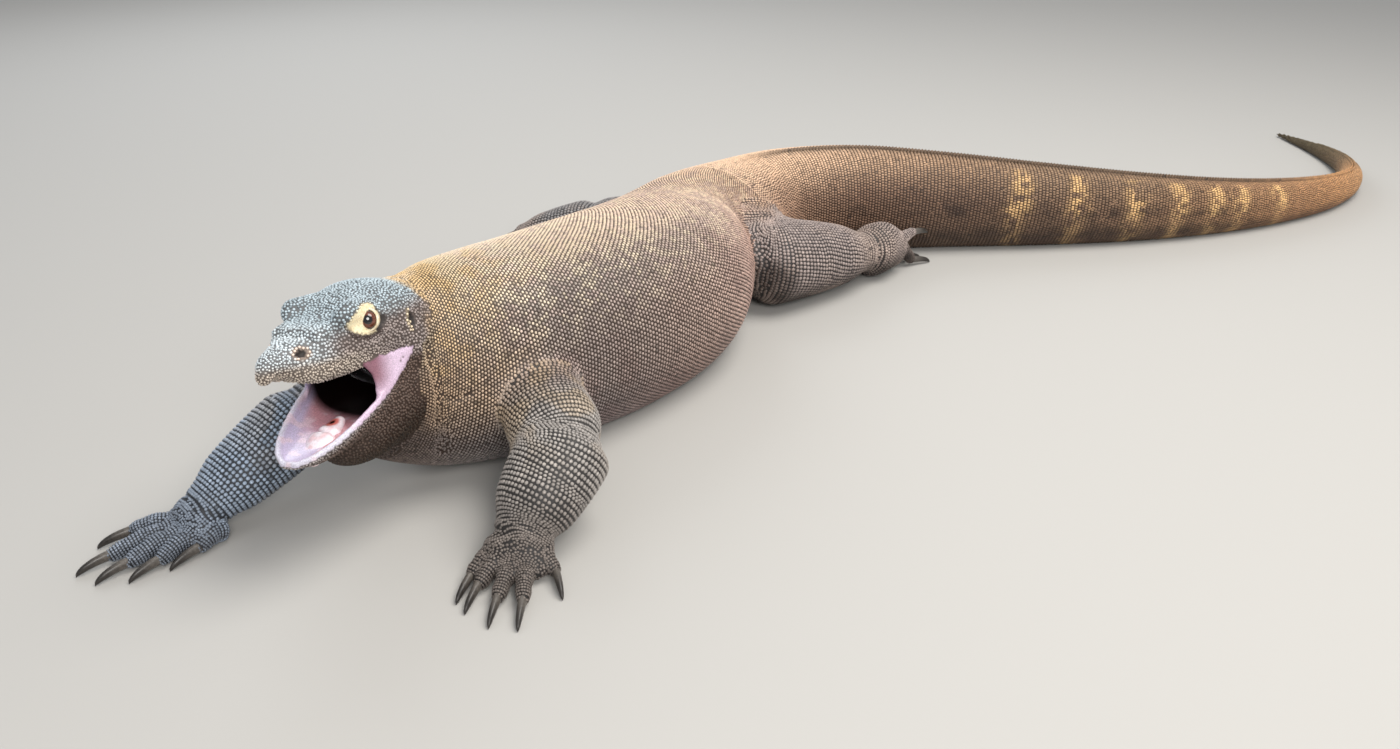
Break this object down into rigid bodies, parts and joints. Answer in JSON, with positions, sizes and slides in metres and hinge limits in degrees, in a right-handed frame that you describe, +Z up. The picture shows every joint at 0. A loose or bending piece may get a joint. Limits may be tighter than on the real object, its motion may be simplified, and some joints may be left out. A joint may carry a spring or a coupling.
{
  "type": "komodo dragon display model",
  "caption": "Still life-size model of a big monitor lizard on its belly: head up, mouth open, forelegs forward, tail curved to its left.",
  "frame": {"origin": "on the floor under the middle of the belly, on the flat that the trunk rests on", "axes": "+X along the trunk to the head end, +Y to the animal's left, +Z up"},
  "size_m": [2.0735, 1.3397, 0.2465],
  "materials": {
    "hide": "scaled hide, ochre and brown, half matt",
    "limb_hide": "scaled hide, slate grey, half matt",
    "head_hide": "fine scaled hide, blue grey with pale speckles",
    "claw": "dark horn, soft sheen",
    "mouth": "wet pink lining",
    "eye": "glossy dark brown eye"
  },
  "bodies": {
    "root": {"head": "head_hide", "eye_left": "eye", "eye_right": "eye", "lower_jaw": "head_hide", "tongue": "mouth", "neck": "hide", "trunk": "hide", "tail_base": "hide", "tail_second": "hide", "tail_third": "hide", "tail_end": "hide", "upper_arm_left": "limb_hide", "forearm_left": "limb_hide", "hand_left": "limb_hide", "thigh_left": "hide", "shank_left": "limb_hide", "foot_left": "limb_hide", "claw_hand_left_1": "claw", "claw_hand_left_2": "claw", "claw_hand_left_3": "claw", "claw_hand_left_4": "claw", "claw_hand_left_5": "claw", "claw_foot_left_1": "claw", "claw_foot_left_2": "claw", "claw_foot_left_3": "claw", "claw_foot_left_4": "claw", "claw_foot_left_5": "claw", "upper_arm_right": "limb_hide", "forearm_right": "limb_hide", "hand_right": "limb_hide", "thigh_right": "hide", "shank_right": "limb_hide", "foot_right": "limb_hide", "claw_hand_right_1": "claw", "claw_hand_right_2": "claw", "claw_hand_right_3": "claw", "claw_hand_right_4": "claw", "claw_hand_right_5": "claw", "claw_foot_right_1": "claw", "claw_foot_right_2": "claw", "claw_foot_right_3": "claw", "claw_foot_right_4": "claw", "claw_foot_right_5": "claw"}
  },
  "joints": []
}
